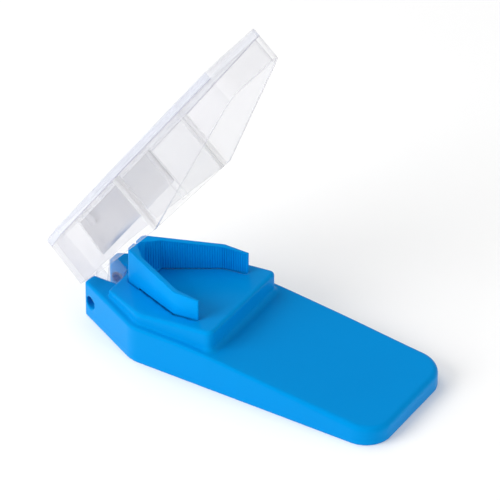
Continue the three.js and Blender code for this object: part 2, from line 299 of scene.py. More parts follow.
def round_edges(obj: bpy.types.Object, radius: float, segments: int, sharper_than: float) -> None:
    """Rounds the sharp edges of a piece and applies the result.

    Args:
        obj: The piece.
        radius: Radius in millimetres.
        segments: Faces across each rounded edge.
        sharper_than: Only edges that turn by more than this many degrees are rounded.
    """
    bevel = obj.modifiers.new("rounded_edges", "BEVEL")
    bevel.limit_method = "ANGLE"
    bevel.angle_limit = math.radians(sharper_than)
    bevel.width = radius * MM
    bevel.segments = segments
    bevel.use_clamp_overlap = True
    bevel.harden_normals = False
    apply_modifiers(obj)


def apply_modifiers(obj: bpy.types.Object) -> None:
    """Replaces a piece's mesh by what its modifiers make of it, and removes them.

    Args:
        obj: The piece.
    """
    shown = obj.evaluated_get(bpy.context.evaluated_depsgraph_get())
    mesh = bpy.data.meshes.new_from_object(shown)
    old = obj.data
    obj.modifiers.clear()
    obj.data = mesh
    mesh.name = obj.name
    bpy.data.meshes.remove(old)


def smooth_by_angle(obj: bpy.types.Object, degrees: float) -> None:
    """Shades a piece smooth, apart from edges that turn by more than the given angle."""
    obj.data.shade_smooth()
    obj.data.set_sharp_from_angle(angle=math.radians(degrees))


# ---- Node trees -------------------------------------------------------------------------------------


class Value:
    """A node's output socket that can be used in ordinary arithmetic."""

    def __init__(self, tree: "Tree", socket: bpy.types.NodeSocket) -> None:
        """Wraps a socket of a tree."""
        self.tree = tree
        self.socket = socket

    def _math(self, operation: str, *terms: "Value | Number") -> "Value":
        """Adds a Math node with these terms."""
        return self.tree.node(self.tree.math_type, {"operation": operation}, dict(enumerate(terms)))

    def __add__(self, other: "Value | Number") -> "Value":
        """Returns the sum."""
        return self._math("ADD", self, other)

    def __radd__(self, other: Number) -> "Value":
        """Returns the sum with a number in front."""
        return self._math("ADD", other, self)

    def __sub__(self, other: "Value | Number") -> "Value":
        """Returns the difference."""
        return self._math("SUBTRACT", self, other)

    def __rsub__(self, other: Number) -> "Value":
        """Returns the difference from a number."""
        return self._math("SUBTRACT", other, self)

    def __mul__(self, other: "Value | Number") -> "Value":
        """Returns the product."""
        return self._math("MULTIPLY", self, other)

    def __rmul__(self, other: Number) -> "Value":
        """Returns the product with a number in front."""
        return self._math("MULTIPLY", other, self)

    def __truediv__(self, other: "Value | Number") -> "Value":
        """Returns the quotient."""
        return self._math("DIVIDE", self, other)

    def __pow__(self, other: "Value | Number") -> "Value":
        """Returns the power."""
        return self._math("POWER", self, other)

    def at_least(self, lowest: "Value | Number") -> "Value":
        """Returns the larger of the value and another."""
        return self._math("MAXIMUM", self, lowest)

    def at_most(self, highest: "Value | Number") -> "Value":
        """Returns the smaller of the value and another."""
        return self._math("MINIMUM", self, highest)

    def clamped(self) -> "Value":
        """Returns the value held between 0 and 1."""
        return self.at_least(0.0).at_most(1.0)

    def size(self) -> "Value":
        """Returns the value without its sign."""
        return self._math("ABSOLUTE", self)

    def inside(self, low: "Value | Number", high: "Value | Number", soft: Number) -> "Value":
        """Returns 1 where the value lies between two others and 0 outside, with soft ends."""
        return ((self - low) / soft + 0.5).clamped() * ((high - self) / soft + 0.5).clamped()


class Tree:
    """Adds nodes to a shader or geometry tree and links them."""

    math_type = "ShaderNodeMath"

    def __init__(self, tree: bpy.types.NodeTree) -> None:
        """Starts with an empty tree."""
        self.tree = tree
        tree.nodes.clear()

    def add(
        self,
        kind: str,
        settings: Mapping[str, Any] | None = None,
        inputs: Mapping[str | int, Any] | None = None,
    ) -> bpy.types.Node:
        """Adds a node, sets it up and links its inputs.

        Args:
            kind: The node's type.
            settings: The node's own properties, such as a Math node's operation, set before its inputs.
            inputs: Values or linked outputs for the node's sockets, by name or number.

        Returns:
            The new node.
        """
        node = self.tree.nodes.new(kind)
        for key, value in (settings or {}).items():
            setattr(node, key, value)
        for key, value in (inputs or {}).items():
            socket = node.inputs[key]
            if isinstance(value, Value):
                self.tree.links.new(value.socket, socket)
            else:
                socket.default_value = value
        return node

    def node(
        self,
        kind: str,
        settings: Mapping[str, Any] | None = None,
        inputs: Mapping[str | int, Any] | None = None,
        output: str | int = 0,
    ) -> Value:
        """Adds a node as add does, and returns one of its outputs."""
        return Value(self, self.add(kind, settings, inputs).outputs[output])


@dataclass(frozen=True)
class Pattern:
    """A noise that a finish is patterned with.

    Attributes:
        scale: Features per metre.
        detail: How many finer layers it has.
        rough: How strong each finer layer is.
    """

    scale: float
    detail: float = 2.0
    rough: float = 0.5


class ShaderTree(Tree):
    """The node tree of a material."""

    def __init__(self, name: str) -> None:
        """Makes a new material with an empty tree.

        Args:
            name: Name of the material.
        """
        self.material = bpy.data.materials.new(name)
        self.material.use_nodes = True
        super().__init__(self.material.node_tree)

    def place(self, turn: float = 0.0, stretch: tuple[float, float, float] = (1, 1, 1)) -> Value:
        """Returns object coordinates in metres, turned about Y and then stretched.

        Args:
            turn: Angle about Y in radians, from the object's axes to the pattern's.
            stretch: Scale of the pattern along its own axes.

        Returns:
            The place as a vector.
        """
        spot = self.node("ShaderNodeTexCoord", output="Object")
        if turn:
            spot = self.node(
                "ShaderNodeMapping", {"vector_type": "POINT"},
                {"Vector": spot, "Rotation": (0.0, turn, 0.0)},
            )
        return self.node(
            "ShaderNodeMapping", {"vector_type": "POINT"}, {"Vector": spot, "Scale": stretch},
        )

    def noise(self, place: Value, pattern: Pattern) -> Value:
        """Returns a noise between 0 and 1."""
        return self.node("ShaderNodeTexNoise", {"noise_dimensions": "3D"}, {
            "Vector": place, "Scale": pattern.scale, "Detail": pattern.detail, "Roughness": pattern.rough,
        }, "Fac")

    def between(self, share: Value, low: Number, high: Number) -> Value:
        """Returns a value that runs from low to high as share runs from 0 to 1."""
        return share * (high - low) + low

    def tint(self, share: Value, first: Colour, second: Colour) -> Value:
        """Mixes two colours."""
        return self.node(
            "ShaderNodeMix", {"data_type": "RGBA"},
            {"Factor": share, 6: (*first, 1.0), 7: (*second, 1.0)}, 2,
        )

    def blend(self, share: Value, first: Value | Colour, second: Colour) -> Value:
        """Mixes a colour, which may vary, with one that doesn't."""
        return self.node(
            "ShaderNodeMix", {"data_type": "RGBA"}, {"Factor": share, 6: first, 7: (*second, 1.0)}, 2,
        )

    def shut_place(self, base: "Base", opened: float) -> tuple[Value, Value, Value]:
        """Returns X, Y and Z in millimetres as they are when the lid is shut.

        Args:
            base: The base, for the place of the hinge.
            opened: Angle in radians by which the lid stands open at rest.

        Returns:
            The three coordinates as values.
        """
        hinge = Vector((base.hinge_x, 0.0, base.hinge_z))
        spot = self.node("ShaderNodeTexCoord", output="Object")
        spot = self.node(
            "ShaderNodeVectorMath", {"operation": "SUBTRACT"}, {0: spot, 1: base.shift() + hinge * MM},
        )
        spot = self.node("ShaderNodeMapping", {"vector_type": "POINT"}, {
            "Vector": spot, "Rotation": (0.0, opened, 0.0), "Scale": (1 / MM, 1 / MM, 1 / MM),
            "Location": hinge,
        })
        parts = self.add("ShaderNodeSeparateXYZ", None, {0: spot})
        return tuple(Value(self, output) for output in parts.outputs)

    def bump(self, height: Value, depth: float, strength: float = 1.0) -> Value:
        """Returns a normal bent by a height between 0 and 1, over a depth in metres."""
        return self.node(
            "ShaderNodeBump", None, {"Height": height, "Distance": depth, "Strength": strength}, "Normal",
        )

    def finish(self, shader: bpy.types.NodeSocket) -> bpy.types.Material:
        """Links a shader to the material's output.

        Args:
            shader: The shader's output socket.

        Returns:
            The finished material.
        """
        output = self.tree.nodes.new("ShaderNodeOutputMaterial")
        self.tree.links.new(shader, output.inputs["Surface"])
        return self.material


class GeometryTree(Tree):
    """A Geometry Nodes tree with named inputs for its sizes."""

    def __init__(self, name: str, sizes: Mapping[str, float]) -> None:
        """Makes a tree with one geometry in, one geometry out and a float input for each size.

        Args:
            name: Name of the tree.
            sizes: Names and values of the inputs.
        """
        group = bpy.data.node_groups.new(name, "GeometryNodeTree")
        super().__init__(group)
        self.sockets: dict[str, str] = {}
        group.interface.new_socket("Geometry", in_out="INPUT", socket_type="NodeSocketGeometry")
        for size, value in sizes.items():
            socket = group.interface.new_socket(size, in_out="INPUT", socket_type="NodeSocketFloat")
            socket.default_value = value
            self.sockets[size] = socket.identifier
        group.interface.new_socket("Geometry", in_out="OUTPUT", socket_type="NodeSocketGeometry")
        self.inputs = group.nodes.new("NodeGroupInput")

    def size(self, name: str) -> Value:
        """Returns the named size as a value."""
        return Value(self, self.inputs.outputs[name])

    def finish(self, geometry: Value, material: bpy.types.Material) -> None:
        """Ends the tree: real geometry with a material.

        Args:
            geometry: What the tree has made, with its instances.
            material: What it is dressed in.
        """
        real = self.node("GeometryNodeRealizeInstances", None, {"Geometry": geometry})
        dressed = self.node("GeometryNodeSetMaterial", None, {"Geometry": real, "Material": material})
        output = self.tree.nodes.new("NodeGroupOutput")
        self.tree.links.new(dressed.socket, output.inputs["Geometry"])

    def build(
        self, name: str, start: bpy.types.Mesh, sizes: Mapping[str, float],
    ) -> bpy.types.Object:
        """Runs the tree and turns the result into a plain mesh.

        Args:
            name: Name of the new object.
            start: The mesh that the tree starts from.
            sizes: Values of the tree's inputs, by name.

        Returns:
            The new object.
        """
        obj = add_object(name, start)
        modifier = obj.modifiers.new(name, "NODES")
        modifier.node_group = self.tree
        for size, value in sizes.items():
            modifier[self.sockets[size]] = value
        apply_modifiers(obj)
        return obj


# ---- Finishes ---------------------------------------------------------------------------------------


@dataclass(frozen=True)
class MouldedPlastic:
    """Coloured glossy plastic, as it comes out of a polished mould.

    Attributes:
        colour: Main colour.
        deep: Colour of the slightly darker swirls in it.
        sheen: Colour of its gloss.
        roughness: Lowest and highest roughness.
        swirl: Pattern of the darker swirls.
        handling: Pattern of the roughness, from handling.
        grain: Fine grain of the surface.
        flow: Slow waves that the plastic left as it flowed along the mould.
        flow_stretch: Scale of those waves along the moulding.
        flow_share: Share of the surface's height that the waves have.
        height: Height of grain and waves together in metres.
        gloss: Strength of the gloss.
    """

    colour: Colour
    deep: Colour
    sheen: Colour
    roughness: tuple[float, float]
    swirl: Pattern = Pattern(45.0, 3.0, 0.55)
    handling: Pattern = Pattern(320.0, 4.0, 0.65)
    grain: Pattern = Pattern(5200.0)
    flow: Pattern = Pattern(130.0)
    flow_stretch: float = 0.25
    flow_share: float = 0.65
    height: float = 4e-6
    gloss: float = 0.08

    def material(self, name: str) -> bpy.types.Material:
        """Makes the finish.

        Args:
            name: Name of the material.

        Returns:
            The finish as a material.
        """
        tree = ShaderTree(name)
        place = tree.place()
        swirl = tree.noise(place, self.swirl)
        handling = tree.noise(place, self.handling)
        grain = tree.noise(place, self.grain)
        flow = tree.noise(tree.place(stretch=(self.flow_stretch, 1.0, 1.0)), self.flow)
        height = grain * (1 - self.flow_share) + flow * self.flow_share
        shader = tree.add("ShaderNodeBsdfPrincipled", None, {
            "Base Color": tree.tint(swirl, self.colour, self.deep),
            "Roughness": tree.between(handling, *self.roughness),
            "Normal": tree.bump(height, self.height),
            "IOR": 1.5,
            "Specular IOR Level": self.gloss,
            "Specular Tint": (*self.sheen, 1.0),
        })
        return tree.finish(shader.outputs[0])


@dataclass(frozen=True)
class ClearPlastic:
    """Clear polystyrene with a faint cool haze.

    Where the eye looks along a wall instead of across it there is more plastic in the way, so the edge
    of the top plate, the cross wall and its corners are less clear than the open walls. Light and shade
    are
    also painted into the colour: a painted white highlight on the cross wall, painted shade on the two
    long side walls, and grey painted shade on faces seen edge on and along the lower edge of the top
    plate.

    Attributes:
        haze: Colour of the light that the plastic scatters.
        shaded_wall_haze: The haze on the two long side walls, painted darker there as shade, since the
            lamps light those walls more.
        edge: Grey painted as shade on faces seen edge on, and on the line along the lower edge of the top
            plate.
        plate: Colour of the edge of the top plate.
        crossing_highlight: White painted on the cross wall as a highlight, where its thick plastic catches
            the light.
        body: Share of the light that one face stops when seen square on.
        rim: Further share that it stops when seen edge on.
        edge_power: How quickly that share grows towards the edge.
        cloud: How much the haze varies.
        wall_more: Further share that the long side walls stop.
        plate_more: Further share that the edge of the top plate stops.
        line_more: Further share that the line below that edge stops.
        crossing_more: Further share that the cross wall stops.
        corner_more: Further share that the cross wall's two corners stop.
        rim_more: Further share that the rim stops.
        waves: Pattern of the haze and of the slow waves of a moulded clear wall.
        waviness: Height in metres of those waves.
        handling: Pattern of the roughness, from handling.
        roughness: Lowest and highest roughness.
    """

    haze: Colour = (0.84, 0.835, 0.88)
    shaded_wall_haze: Colour = (0.64, 0.635, 0.69)
    edge: Colour = (0.30, 0.30, 0.38)
    plate: Colour = (0.52, 0.56, 0.70)
    crossing_highlight: Colour = (1.0, 1.0, 1.0)
    body: float = 0.10
    rim: float = 0.55
    edge_power: float = 3.0
    cloud: float = 0.02
    wall_more: float = 0.03
    plate_more: float = 0.20
    line_more: float = 0.45
    crossing_more: float = 0.06
    corner_more: float = 0.75
    rim_more: float = 0.22
    waves: Pattern = Pattern(90.0)
    waviness: float = 6e-6
    handling: Pattern = Pattern(420.0, 4.0, 0.7)
    roughness: tuple[float, float] = (0.05, 0.12)

    def material(self, name: str, lid: "Lid", base: "Base", opened: float) -> bpy.types.Material:
        """Makes the finish.

        Args:
            name: Name of the material.
            lid: The lid, for the places of its walls.
            base: The base, for the slope that the top plate follows.
            opened: Angle in radians by which the lid stands open at rest.

        Returns:
            The finish as a material.
        """
        tree = ShaderTree(name)
        place = tree.place()
        waves = tree.noise(place, self.waves)
        handling = tree.noise(place, self.handling)
        facing = tree.node("ShaderNodeLayerWeight", None, {"Blend": 0.5}, "Facing")
        edge_on = facing ** self.edge_power
        x, y, z = tree.shut_place(base, opened)
        wall = tree.node("ShaderNodeAttribute", {"attribute_name": lid.WALL}, output="Fac")
        above = z - (x * math.tan(base.tilt) + base.deck_height(0.0) + lid.roof_above_deck)
        plate = wall * above.inside(0.0, lid.top_thickness, lid.soft)
        line = wall * above.inside(-lid.line_width, lid.line_width, lid.soft)
        rim = tree.node("ShaderNodeAttribute", {"attribute_name": lid.RIM}, output="Fac")
        back = lid.cross_wall - lid.wall - lid.holder_reach
        crossing = x.inside(back - lid.soft, lid.cross_wall + lid.soft, lid.soft)
        crossing = crossing * (1 - wall)
        corner = crossing * (y.size() - (base.half_width - lid.corner_reach)).clamped()
        stopped = (
            self.body + self.rim * edge_on + self.cloud * (waves - 0.5) + wall * self.wall_more
            + plate * self.plate_more + line * self.line_more + crossing * self.crossing_more
            + corner * self.corner_more + rim * self.rim_more
        )
        # Painted shade: the two long side walls take a darker haze, to offset the lamps that light them
        # more.
        colour = tree.blend(wall, (*self.haze, 1.0), self.shaded_wall_haze)
        # Painted shade: faces seen edge on are painted grey, as the darkening that clear plastic shows at
        # its edges.
        colour = tree.blend(edge_on, colour, self.edge)
        colour = tree.blend(plate, colour, self.plate)
        # Painted highlight: the cross wall and its corners are painted white, as light caught in the thick
        # plastic.
        colour = tree.blend(crossing, colour, self.crossing_highlight)
        # Painted shade: a thin grey line is painted on the side walls along the lower edge of the top
        # plate.
        colour = tree.blend(line, colour, self.edge)
        shader = tree.add("ShaderNodeBsdfPrincipled", None, {
            "Base Color": colour,
            "Roughness": tree.between(handling, *self.roughness),
            "Normal": tree.bump(waves, self.waviness),
            "Alpha": stopped.clamped(),
            "IOR": 1.58,
        })
        return tree.finish(shader.outputs[0])


@dataclass(frozen=True)
class BrushedSteel:
    """Stainless strip, brushed along its length.

    Attributes:
        bright: Colour of the brightest streaks.
        dull: Colour of the dullest streaks.
        roughness: Lowest and highest roughness.
        turn: Angle in radians from the frame's X to the length of the strip, about -Y.
        streaks: Pattern of the brushing across the strip.
        streak_stretch: Scale of that pattern along the strip.
        streak_share: Share of the colour's change that the streaks have.
        streak_depth: Depth of the streaks in metres.
        patches: Pattern of the duller patches.
        patch_stretch: Scale of the patches along the strip.
    """

    bright: Colour
    dull: Colour
    roughness: tuple[float, float]
    turn: float
    streaks: Pattern = Pattern(4200.0, 3.0, 0.6)
    streak_stretch: float = 0.03
    streak_share: float = 0.6
    streak_depth: float = 3e-6
    patches: Pattern = Pattern(180.0, 3.0, 0.55)
    patch_stretch: float = 0.4

    def material(self, name: str) -> bpy.types.Material:
        """Makes the finish.

        Args:
            name: Name of the material.

        Returns:
            The finish as a material.
        """
        tree = ShaderTree(name)
        streaks = tree.noise(tree.place(self.turn, (self.streak_stretch, 1.0, 1.0)), self.streaks)
        patches = tree.noise(tree.place(self.turn, (self.patch_stretch, 1.0, 1.0)), self.patches)
        share = streaks * self.streak_share + patches * (1 - self.streak_share)
        shader = tree.add("ShaderNodeBsdfPrincipled", None, {
            "Base Color": tree.tint(share, self.dull, self.bright),
            "Metallic": 1.0,
            "Roughness": tree.between(patches, *self.roughness),
            "Normal": tree.bump(streaks, self.streak_depth),
        })
        return tree.finish(shader.outputs[0])


# ---- Base -------------------------------------------------------------------------------------------


@dataclass
class Base:
    """The blue moulding: thumb plate, ledge, tilted deck and hinge ears. Sizes are in millimetres.

    A crease is how far the meeting of two nearly level faces is eased.
    """

    length: float = 90.0
    half_width: float = 17.5
    hinge_end_half_width: float = 7.3
    flare_length: float = 20.0
    thumb_corner_radius: float = 7.0
    ledge_height: float = 10.2
    ledge_width: float = 2.0
    ledge_end: float = 38.0
    thumb_end_height: float = 4.8
    deck_start: float = 8.35
    deck_end: float = 42.0
    deck_end_height: float = 15.4
    deck_corner_radius: float = 1.8
    deck_thickness: float = 3.0
    tilt: float = math.radians(6)
    wall: float = 2.2
    rib_width: float = 4.0
    hinge_x: float = 2.4
    hinge_z: float = 5.0
    hinge_hole_radius: float = 1.7
    ear_gap: float = 7.8
    seat_start: float = 10.2
    seat_end: float = 15.0
    seat_half_width: float = 3.5
    seat_slope: float = 8.4 / 18.8
    seat_depth: float = 1.4
    seat_clearance: float = 0.08
    seat_corner_radius: float = 1.2
    peg_hole_radius: float = 1.2
    groove_bend: float = 29.0
    groove_end: float = 35.8
    groove_width: float = 0.9
    groove_depth: float = 0.6
    edge_radius: float = 0.65
    deck_edge_radius: float = 1.0
    thumb_edge_radius: float = 1.3
    fine_radius: float = 0.3
    fillet_radius: float = 0.45
    step_fillet_radius: float = 1.5
    step_fillet_run: float = 3.0
    thumb_edge_delay: float = 15.0
    foot_crease: float = 1.0
    deck_crease: float = 0.8
    ledge_crease: float = 0.8
    slot_short: float = 0.3
    groove_trim: float = 0.02

    @property
    def flare_slope(self) -> float:
        """How far the side moves out for each millimetre of the flare."""
        return (self.half_width - self.hinge_end_half_width) / self.flare_length

    def shift(self) -> Vector:
        """The frame's place of the hinge end, from which this class measures, in metres."""
        return Vector((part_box("base")[0][0], 0.0, 0.0))

    def deck_height(self, x: Array | float) -> Array | float:
        """Height of the deck at a distance from the hinge end."""
        return self.deck_end_height - (self.deck_end - x) * math.tan(self.tilt)

    def handle_height(self, x: Array | float) -> Array | float:
        """Height of the sloping thumb plate at a distance from the hinge end."""
        fall = (self.ledge_height - self.thumb_end_height) / (self.length - self.ledge_end)
        return self.ledge_height - (x - self.ledge_end) * fall

    def _sides(self, x: Array, side: Array, set_in: float, crease: float) -> Array:
        """Distance to the two long sides and their flares, moved inwards.

        Args:
            x: Distance from the hinge end.
            side: Distance from the middle plane.
            set_in: How far the sides are moved inwards.
            crease: How far the crease between side and flare is eased.

        Returns:
            The signed distance.
        """
        straight = side - self.half_width
        lean = math.hypot(1, self.flare_slope)
        flare = (side - self.hinge_end_half_width - self.flare_slope * x) / lean
        return eased(straight + set_in, flare + set_in, crease)

    def _footprint(self, x: Array, side: Array, set_in: float, corner: float) -> Array:
        """Distance to the outline that stands on the table, moved inwards."""
        sides = self._sides(x, side, set_in, self.foot_crease)
        return common(sides, x - self.length + set_in, corner)

    def _outside(self, x: Array, side: Array, z: Array) -> Array:
        """The solid up to the ledge and the thumb plate.

        Args:
            x: Distance from the hinge end.
            side: Distance from the middle plane.
            z: Height.

        Returns:
            The signed distance.
        """
        plan = common(
            self._footprint(x, side, 0.0, self.thumb_corner_radius), -x, self.fine_radius,
        )
        slope = math.atan2(self.ledge_height - self.thumb_end_height, self.length - self.ledge_end)
        falling = (z - self.handle_height(x)) * math.cos(slope)
        top = eased(z - self.ledge_height, falling, self.ledge_crease)
        thumb_share = ramp(
            x, self.deck_end + self.thumb_edge_delay, self.length - self.thumb_corner_radius,
        )
        radius = self.edge_radius + (self.thumb_edge_radius - self.edge_radius) * thumb_share
        return common(plan, top, radius)

    def _deck(self, x: Array, side: Array, z: Array) -> Array:
        """The raised deck with its soft edges.

        Args:
            x: Distance from the hinge end.
            side: Distance from the middle plane.
            z: Height.

        Returns:
            The signed distance.
        """
        sides = self._sides(x, side, self.ledge_width, self.deck_crease)
        plan = common(sides, x - self.deck_end, self.deck_corner_radius)
        plan = common(plan, self.deck_start - x, self.fine_radius)
        top = (z - self.deck_height(x)) * math.cos(self.tilt)
        ends = ramp(x, self.deck_start, self.flare_length)
        return common(plan, top, self.fine_radius + (self.deck_edge_radius - self.fine_radius) * ends)

    def _hollow(self, x: Array, side: Array, z: Array) -> Array:
        """The two hollows that are open below, either side of the cross rib.

        Args:
            x: Distance from the hinge end.
            side: Distance from the middle plane.
            z: Height.

        Returns:
            The signed distance.
        """
        rib_start = self.deck_end - self.wall
        sides = self._sides(x, side, self.wall + self.ledge_width, self.deck_crease)
        back = common(sides, x - rib_start, self.fine_radius)
        back = common(back, self.deck_start - self.slot_short + self.wall - x, self.fine_radius)
        back_top = (z - self.deck_height(x) + self.deck_thickness) * math.cos(self.tilt)
        back = common(back, back_top, self.fine_radius)
        front = self._footprint(x, side, self.wall, self.thumb_corner_radius - self.wall)
        front = common(front, rib_start + self.rib_width - x, self.fine_radius)
        front = common(front, z - self.handle_height(x) + self.wall, self.fine_radius)
        return np.minimum(back, front)

    def _seat(self, x: Array, side: Array, z: Array) -> Array:
        """The shallow pocket for the grip's bridge, and the two holes for its pegs.

        Args:
            x: Distance from the hinge end.
            side: Distance from the middle plane.
            z: Height.

        Returns:
            The signed distance.
        """
        grow = self.seat_clearance
        width = side - self.seat_half_width - self.seat_slope * (x - self.seat_start) - 2 * grow
        pocket = common(width, self.seat_start - grow - x, self.seat_corner_radius)
        pocket = np.maximum(pocket, x - self.seat_end - grow)
        pocket = np.maximum(pocket, self.deck_height(x) - self.seat_depth - z)
        middle = (self.seat_start + self.seat_end) / 2
        hole = np.hypot(x - middle, side - self.seat_half_width) - self.peg_hole_radius
        return np.minimum(np.minimum(pocket, hole), self._groove(x, side, z))

    def _groove(self, x: Array, side: Array, z: Array) -> Array:
        """The shallow groove that runs under each arm of the grip.

        Args:
            x: Distance from the hinge end.
            side: Distance from the middle plane.
            z: Height.

        Returns:
            The signed distance.
        """
        slope = self.seat_slope
        arm = self.seat_half_width + slope * (np.minimum(x, self.groove_bend) - self.seat_start)
        lean = np.where(x < self.groove_bend, math.hypot(1, slope), 1.0)
        middle = (side - arm) / lean + self.groove_width / 2
        band = np.abs(middle) - self.groove_width / 2 + self.groove_trim
        band = np.maximum(band, np.maximum(self.seat_end - x, x - self.groove_end))
        return np.maximum(band, self.deck_height(x) - self.groove_depth - z)

    def field(self, x: Array, y: Array, z: Array) -> Array:
        """Signed distance to the whole moulding.

        Args:
            x: Distance from the hinge end.
            y: Distance from the middle plane, to either side.
            z: Height.

        Returns:
            The signed distance.
        """
        side = np.abs(y)
        fillet = self.fillet_radius + (self.step_fillet_radius - self.fillet_radius) * ramp(
            x, self.deck_end - self.step_fillet_run, self.deck_end,
        )
        solid = joined(self._outside(x, side, z), self._deck(x, side, z), fillet)
        solid = common(solid, -z, self.fine_radius)
        solid = cut(solid, self._hollow(x, side, z), self.fine_radius)
        slot = np.maximum(side - self.ear_gap / 2, x - self.deck_start + self.slot_short)
        solid = cut(solid, slot, self.fine_radius)
        hole = np.hypot(x - self.hinge_x, z - self.hinge_z) - self.hinge_hole_radius
        solid = cut(solid, hole, self.fine_radius / 2)
        return cut(solid, self._seat(x, side, z), self.fine_radius / 2)

    def build(self, finish: MouldedPlastic) -> bpy.types.Object:
        """Meshes the moulding, dresses it and ties it to the frame.

        Args:
            finish: What the base is made of.

        Returns:
            The finished base.
        """
        low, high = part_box("base")
        start = self.shift().x / MM

        def shifted(x: Array, y: Array, z: Array) -> Array:
            """The field with X in the frame's own place."""
            return self.field(x - start, y, z)

        mesh = FieldMesher().mesh("base_moulding", shifted, Vector(low) / MM, Vector(high) / MM)
        obj = add_object("base_moulding", mesh)
        mesh.materials.append(finish.material("blue_moulded_plastic"))
        attach(obj, Body.BASE, Slot.BASE, "base")
        return obj


# ---- Grip -------------------------------------------------------------------------------------------


@dataclass
class PillGrip:
    """The V-shaped grip and the fine ribs on the inside of its arms. Sizes are in millimetres.

    The X of these sizes runs from the hinge end of the base.
    """

    rib_end: float = 35.7
    root: float = 11.4
    root_half_gap: float = 0.9
    seat_end: float = 15.0
    bend: float = 29.0
    back_half_width: float = 3.5
    mouth_half_width: float = 11.9
    wall: float = 1.2
    tip_wall: float = 0.5
    back: float = 10.2
    top: float = 20.7
    back_top: float = 21.5
    foot_gap: float = 0.3
    edge_radius: float = 0.12
    rib_pitch: float = 0.62
    rib_radius: float = 0.2
    rib_sides: int = 8
    sunk: float = 0.03
    first_rib: float = 1.0

    def build(self, base: Base, finish: MouldedPlastic) -> None:
        """Builds the grip and its ribs.

        Args:
            base: The moulding that the grip stands on.
            finish: What the grip is made of.
        """
        material = finish.material("blue_grip_plastic")
        body = clean_copy("pill_grip", "grip_moulding")
        round_edges(body, self.edge_radius, segments=2, sharper_than=30)
        smooth_by_angle(body, degrees=40)
        body.data.materials.append(material)
        attach(body, Body.BASE, Slot.GRIP, "pill_grip")
        ribs = self._ribs(base, material)
        attach(ribs, Body.BASE, Slot.GRIP)

    def _inside(self, x: float) -> float:
        """Half the width between the arms.

        Args:
            x: Distance from the hinge end.

        Returns:
            The half width.
        """
        if x > self.bend:
            thinning = (self.wall - self.tip_wall) * (x - self.bend) / (self.rib_end - self.bend)
            return self.mouth_half_width - self.wall + thinning
        slope = (self.mouth_half_width - self.back_half_width) / (self.bend - self.back)
        outside = self.mouth_half_width - slope * (self.bend - max(x, self.seat_end))
        inside = outside - self.wall * math.hypot(1, slope)
        share = min((x - self.root) / (self.seat_end - self.root), 1)
        return self.root_half_gap + (inside - self.root_half_gap) * share

    def _ribs(self, base: Base, material: bpy.types.Material) -> bpy.types.Object:
        """Stands a row of fine upright ribs along the inner face of each arm.

        Args:
            base: The moulding that the grip stands on.
            material: What the ribs are dressed in.

        Returns:
            The ribs as one piece.
        """
        path = bpy.data.meshes.new("rib_path")
        points, edges = [], []
        corners = (self.root + self.first_rib, self.seat_end, self.bend, self.rib_end)
        for side in (-1, 1):
            edges += [(len(points) + i, len(points) + i + 1) for i in range(len(corners) - 1)]
            for x in corners:
                foot = base.deck_height(x) + self.foot_gap
                points.append(Vector((x, side * self._inside(x), foot)) * MM + base.shift())
        path.from_pydata(points, edges, [])
        sizes = {
            "Pitch": self.rib_pitch * MM,
            "Radius": self.rib_radius * MM,
            "Top": (self.top - self.sunk) * MM,
            "Bend": base.shift().x + self.bend * MM,
            "Rise": (self.back_top - self.top) / (self.bend - self.back),
        }
        tree = GeometryTree("grip_ribs", sizes)
        line = tree.node("GeometryNodeMeshToCurve", None, {"Mesh": tree.size("Geometry")})
        spots = tree.node(
            "GeometryNodeResampleCurve", {"mode": "LENGTH"}, {"Curve": line, "Length": tree.size("Pitch")},
        )
        rib = tree.node("GeometryNodeMeshCylinder", None, {
            "Vertices": self.rib_sides, "Radius": tree.size("Radius"), "Depth": 1.0,
        })
        rib = tree.node(
            "GeometryNodeTransform", None, {"Geometry": rib, "Translation": (0.0, 0.0, 0.5)},
        )
        spot = tree.add("ShaderNodeSeparateXYZ", None, {0: tree.node("GeometryNodeInputPosition")})
        behind = (tree.size("Bend") - Value(tree, spot.outputs["X"])).at_least(0.0)
        height = tree.size("Top") + behind * tree.size("Rise") - Value(tree, spot.outputs["Z"])
        scale = tree.node("ShaderNodeCombineXYZ", None, {"X": 1.0, "Y": 1.0, "Z": height})
        row = tree.node(
            "GeometryNodeInstanceOnPoints", None, {"Points": spots, "Instance": rib, "Scale": scale},
        )
        tree.finish(row, material)
        return tree.build("grip_ribs", path, sizes)


# ---- Lid and blade ----------------------------------------------------------------------------------


